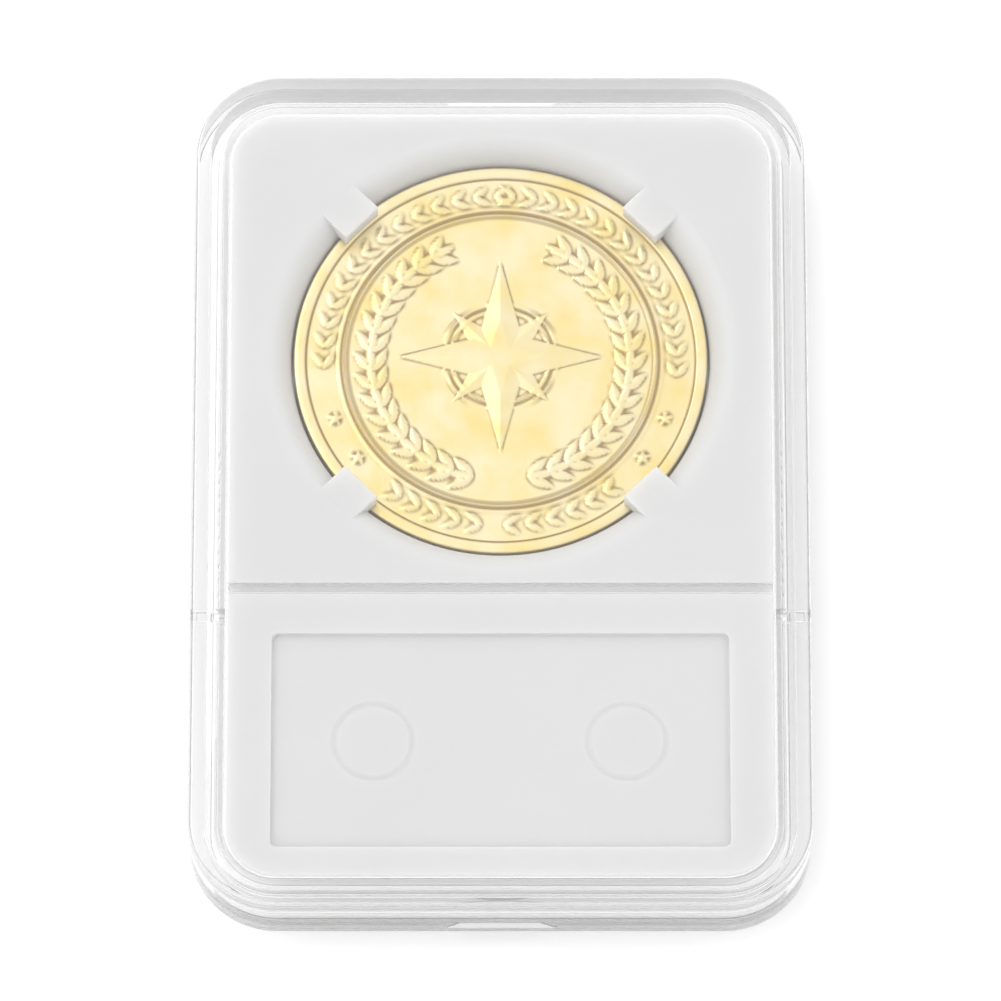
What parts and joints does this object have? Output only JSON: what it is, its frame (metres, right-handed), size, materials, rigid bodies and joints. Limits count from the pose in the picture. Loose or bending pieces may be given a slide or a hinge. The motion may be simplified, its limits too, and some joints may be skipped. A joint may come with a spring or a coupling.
{
  "type": "coin capsule",
  "caption": "Flat stacking coin capsule: clear lapped front and rear shells round a pronged liner with a round coin seat and a label recess, with a coin.",
  "frame": {"origin": "centre of the base: the middle of the overall box in plan, at the underside of the foot ring", "axes": "+Z out of the front window, +Y along the capsule towards the coin end, +X across it"},
  "size_m": [0.06, 0.086, 0.009],
  "materials": {
    "clear_shell": "clear injection-moulded polystyrene, polished",
    "white_liner": "white moulded thermoplastic elastomer, fine satin",
    "coin_metal": "gold-plated brass, struck"
  },
  "bodies": {
    "rear_shell": {"rear_shell": "clear_shell"},
    "front_shell": {"front_shell": "clear_shell"},
    "liner": {"liner": "white_liner"},
    "coin": {"coin": "coin_metal"}
  },
  "joints": [
    {"name": "front_shell_lift", "type": "slide", "parent": "rear_shell", "child": "front_shell", "axis": [0, 0, 1], "range_m": [0, 0.06]},
    {"name": "liner_lift", "type": "slide", "parent": "rear_shell", "child": "liner", "axis": [0, 0, 1], "range_m": [0, 0.036]},
    {"name": "coin_lift", "type": "slide", "parent": "rear_shell", "child": "coin", "axis": [0, 0, 1], "range_m": [0, 0.018]}
  ],
  "couplings": [
    {"joint": "liner_lift", "follows": "front_shell_lift", "ratio": 0.6},
    {"joint": "coin_lift", "follows": "front_shell_lift", "ratio": 0.3}
  ]
}
